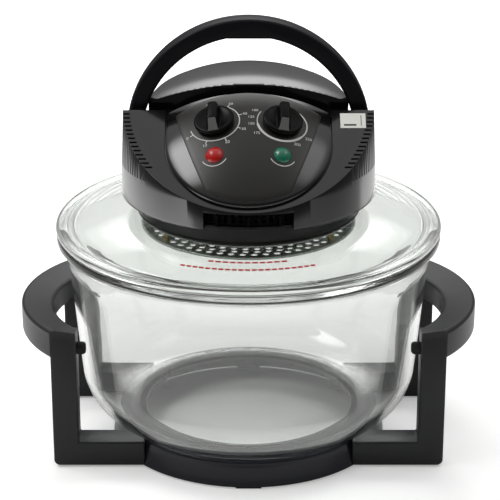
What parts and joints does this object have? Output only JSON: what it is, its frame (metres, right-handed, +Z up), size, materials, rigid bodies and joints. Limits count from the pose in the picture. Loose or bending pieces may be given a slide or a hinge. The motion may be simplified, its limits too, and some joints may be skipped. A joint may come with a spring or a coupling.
{
  "type": "halogen oven",
  "caption": "Countertop halogen oven: clear glass bowl on a stand with side grips, glass lid with a heater and fan head, control dome with knobs and a fold-down handle.",
  "frame": {"origin": "on the floor under the middle of the base ring", "axes": "+Z up, -Y towards the front with the knobs, X from grip to grip"},
  "size_m": [0.3998, 0.335, 0.3785],
  "materials": {
    "stand_plastic": "satin, fine grain",
    "ring_plastic": "polished",
    "rubber": "matt",
    "screw_steel": "zinc plated",
    "bowl_glass": "clear, heat resistant",
    "lid_glass": "clear, heat resistant",
    "silicone": "matt",
    "housing_plastic": "polished",
    "collar_plastic": "polished",
    "fascia_print": "satin, printed",
    "dark_plastic": "matt",
    "red_lens": "clear tinted",
    "green_lens": "clear tinted",
    "neon_glass": "clear",
    "timer_case": "moulded",
    "control_case": "pressed",
    "sheet_steel": "galvanised",
    "reflector_metal": "bright",
    "tube_glass": "frosted quartz",
    "ceramic": "unglazed",
    "guard_steel": "satin",
    "brass": "plain",
    "motor_steel": "lacquered laminations",
    "fan_plastic": "moulded",
    "fan_metal": "pressed",
    "shaft_steel": "ground",
    "knob_plastic": "polished",
    "handle_plastic": "satin",
    "white_plastic": "moulded"
  },
  "bodies": {
    "stand": {"base_ring": "ring_plastic", "bowl_rest": "stand_plastic", "left_side_frame": "stand_plastic", "right_side_frame": "stand_plastic", "frame_screws": "screw_steel", "rubber_feet": "rubber", "bowl_buffers": "rubber"},
    "bowl": {"glass_bowl": "bowl_glass"},
    "lid": {"glass_lid": "lid_glass", "lid_gasket": "silicone", "collar": "collar_plastic", "outer_shell": "housing_plastic", "control_dome": "housing_plastic", "panel_fascia": "fascia_print", "rear_cover": "housing_plastic", "front_vent": "dark_plastic", "power_lens": "red_lens", "heat_lens": "green_lens", "power_lamp": "neon_glass", "heat_lamp": "neon_glass", "timer_unit": "timer_case", "thermostat_unit": "control_case", "thermostat_probe": "shaft_steel", "mount_plate": "sheet_steel", "heat_shield": "sheet_steel", "reflector": "reflector_metal", "halogen_tube": "tube_glass", "lamp_holders": "ceramic", "heater_guard": "guard_steel", "guard_posts": "brass", "guard_screws": "brass", "plate_screws": "screw_steel", "housing_screws": "screw_steel", "motor": "motor_steel", "motor_posts": "screw_steel", "terminal_block": "white_plastic", "micro_switch": "dark_plastic", "cord_gland": "dark_plastic", "handle_pins": "shaft_steel"},
    "fan": {"motor_shaft": "shaft_steel", "cooling_fan": "fan_plastic", "convection_fan": "fan_metal", "fan_nut": "screw_steel"},
    "handle": {"handle": "handle_plastic"},
    "timer": {"timer_knob": "knob_plastic", "timer_spindle": "shaft_steel"},
    "thermostat": {"thermostat_knob": "knob_plastic", "thermostat_spindle": "shaft_steel"},
    "plunger": {"safety_plunger": "white_plastic"}
  },
  "joints": [
    {"name": "bowl_lift", "type": "slide", "parent": "stand", "child": "bowl", "axis": [0, 0, 1], "range_m": [0, 0.18]},
    {"name": "lid_lift", "type": "slide", "parent": "bowl", "child": "lid", "axis": [0, 0, 1], "range_m": [0, 0.25]},
    {"name": "handle_fold", "type": "hinge", "parent": "lid", "child": "handle", "pos_m": [0, 0.01, 0.2795], "axis": [-1, 0, 0], "range_deg": [0, 90]},
    {"name": "plunger_press", "type": "slide", "parent": "lid", "child": "plunger", "axis": [0, 0, -1], "range_m": [0, 0.0024]},
    {"name": "timer_turn", "type": "hinge", "parent": "lid", "child": "timer", "pos_m": [-0.028, -0.04573, 0.30285], "axis": [-0.1972, -0.4158, 0.8878], "range_deg": [-300, 0]},
    {"name": "thermostat_turn", "type": "hinge", "parent": "lid", "child": "thermostat", "pos_m": [0.028, -0.04573, 0.30285], "axis": [0.1972, -0.4158, 0.8878], "range_deg": [-300, 0]},
    {"name": "fan_spin", "type": "hinge", "parent": "lid", "child": "fan", "pos_m": [0, 0, 0.25], "axis": [0, 0, 1], "continuous": true}
  ],
  "couplings": [
    {"joint": "plunger_press", "follows": "handle_fold", "m_per_rad": 0.0015279}
  ]
}
